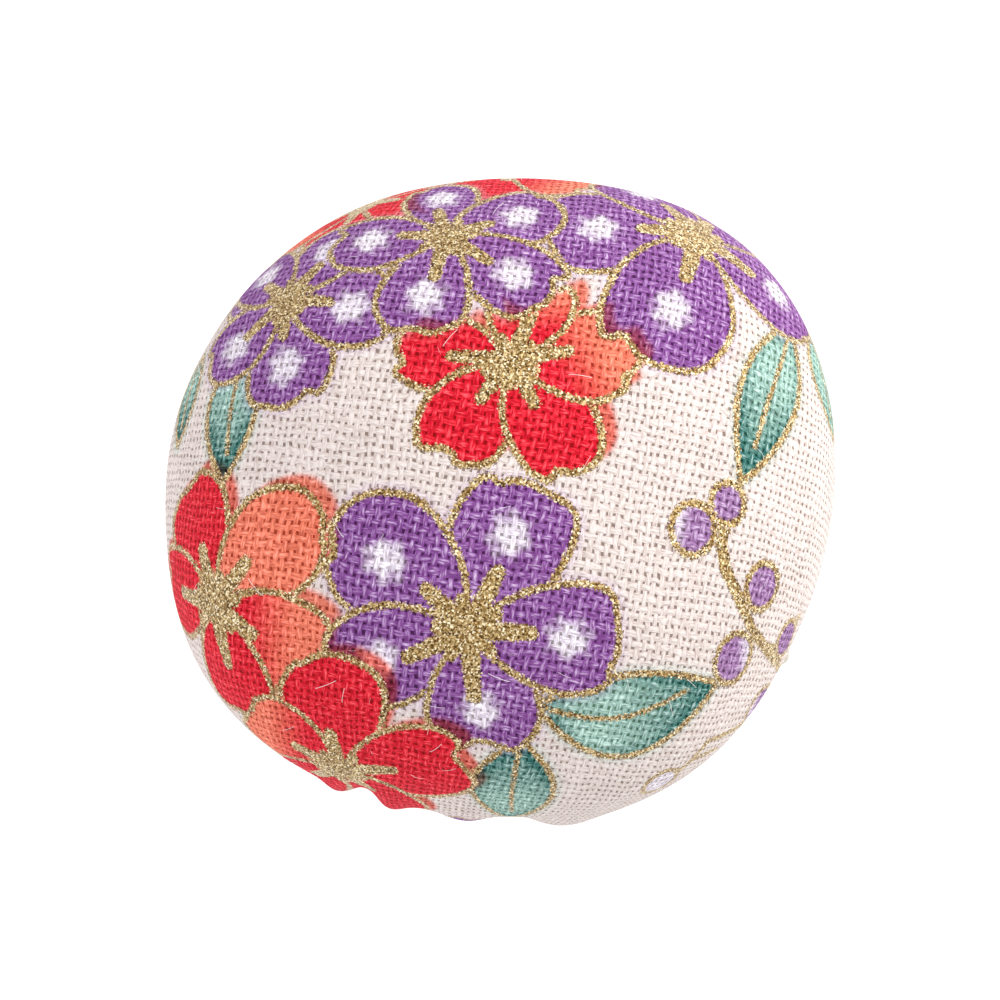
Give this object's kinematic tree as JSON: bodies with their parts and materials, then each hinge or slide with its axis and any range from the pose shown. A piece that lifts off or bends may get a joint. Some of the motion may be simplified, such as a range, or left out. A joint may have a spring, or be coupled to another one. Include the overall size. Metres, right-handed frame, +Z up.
{
  "type": "wrist pin cushion",
  "caption": "Stuffed printed-cotton ball in a shallow plastic dish, worn on the wrist by an elastic strap that closes with hook and loop.",
  "frame": {"origin": "middle of the flat felt face that rests on the wrist", "axes": "+Z up through the crown of the ball, Y along the wearer's arm, X across the wrist with the hook strap on +X"},
  "size_m": [0.0632, 0.061, 0.0936],
  "materials": {
    "printed_cotton": "coarse plain-weave cotton-linen, ivory ground, printed in purple, red, orange and teal with speckled gold outlines",
    "wadding": "white polyester fibre filling",
    "guard_board": "stiff grey board",
    "sewing_thread": "ivory two-ply polyester thread",
    "hot_glue": "cloudy amber hot-melt glue",
    "dish_plastic": "moulded ivory plastic, satin",
    "pin_steel": "drawn steel wire, nickel plated",
    "felt": "pressed wool felt, oatmeal",
    "elastic_webbing": "woven ivory elastic, ribbed along its length",
    "loop_tape": "brushed nylon loop pile, ivory",
    "hook_tape": "woven nylon tape with stiff moulded hooks, ivory"
  },
  "bodies": {
    "cushion_body": {"printed_cover": "printed_cotton", "wadding_core": "wadding", "pin_guard_disc": "guard_board", "gathering_thread": "sewing_thread", "glue_pad": "hot_glue", "base_dish": "dish_plastic", "left_strap_pin": "pin_steel", "right_strap_pin": "pin_steel", "wrist_pad": "felt"},
    "loop_strap_body": {"loop_strap": "elastic_webbing", "loop_patch": "loop_tape", "loop_patch_stitching": "sewing_thread", "loop_strap_bar_tack": "sewing_thread"},
    "hook_strap_body": {"hook_strap": "elastic_webbing", "hook_patch": "hook_tape", "hook_patch_stitching": "sewing_thread", "hook_strap_bar_tack": "sewing_thread"}
  },
  "joints": [
    {"name": "hook_strap_swing", "type": "hinge", "parent": "cushion_body", "child": "hook_strap_body", "pos_m": [0.025, 0, 0.006], "axis": [0, -1, 0], "range_deg": [0, 80]},
    {"name": "loop_strap_swing", "type": "hinge", "parent": "cushion_body", "child": "loop_strap_body", "pos_m": [-0.025, 0, 0.006], "axis": [0, 1, 0], "range_deg": [0, 80]}
  ],
  "couplings": [
    {"joint": "loop_strap_swing", "follows": "hook_strap_swing", "ratio": 1}
  ]
}
